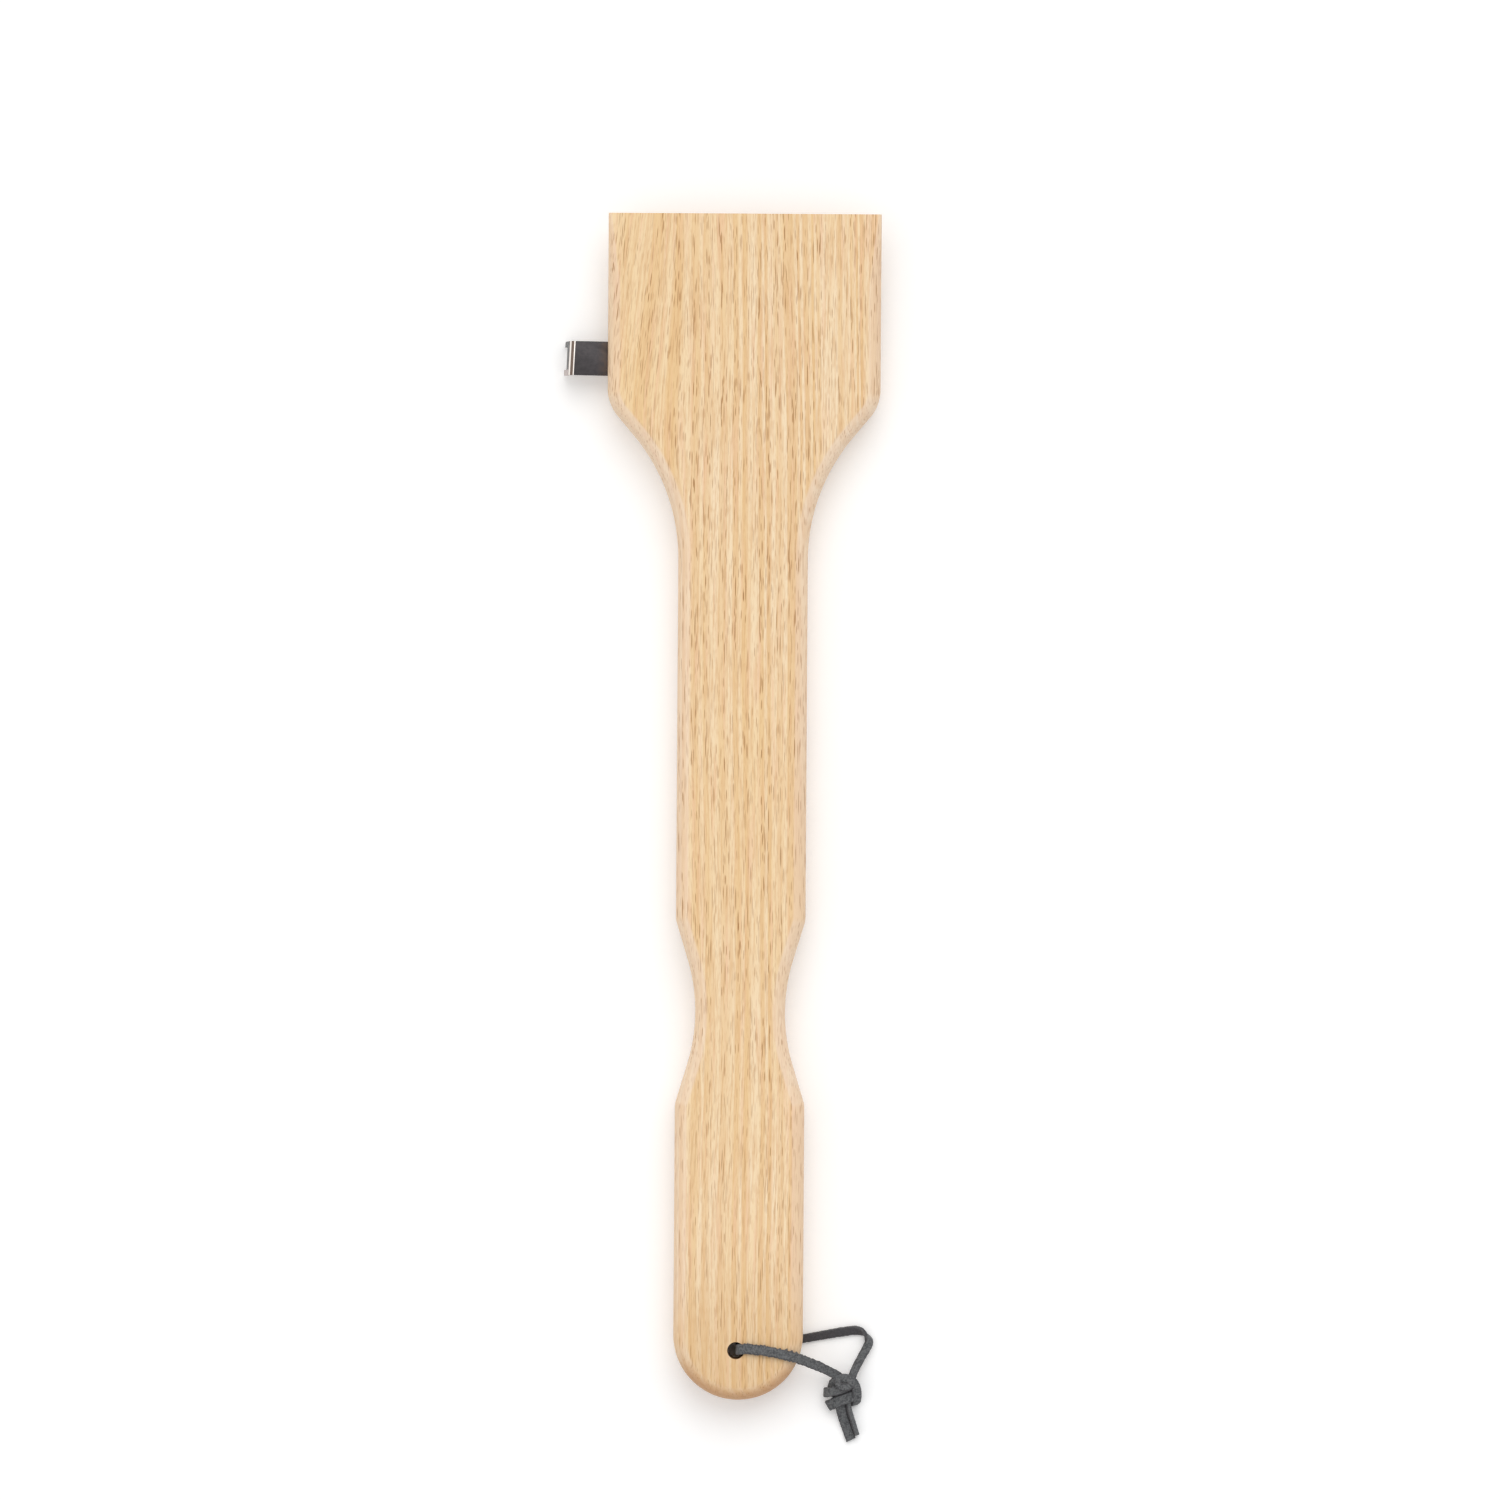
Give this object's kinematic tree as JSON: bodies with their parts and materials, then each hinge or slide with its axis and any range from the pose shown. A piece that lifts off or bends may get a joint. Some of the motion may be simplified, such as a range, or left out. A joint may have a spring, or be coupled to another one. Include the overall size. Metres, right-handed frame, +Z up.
{
  "type": "grill scraper",
  "caption": "Flat oak paddle with a finger neck and a bevelled scraping edge, a bent steel side scraper notched to fit over a grill bar, and a suede hanging lace",
  "frame": {"origin": "on the table, in the middle of the box round the wood and the steel", "axes": "+Y runs from the handle to the scraping tip, +Z is up through the front face, and +X is to the right seen from the front, away from the steel side scraper"},
  "size_m": [0.1149, 0.4458, 0.0225],
  "materials": {
    "oak": "bare planed and sanded oak",
    "steel": "smooth bare steel that mirrors its surroundings darkly",
    "screw_steel": "plain zinc",
    "suede": "dark grey suede with a short nap"
  },
  "bodies": {
    "root": {"paddle": "oak", "side_scraper": "steel", "scraper_screws": "screw_steel", "lace": "suede", "lace_knot": "suede"}
  },
  "joints": []
}
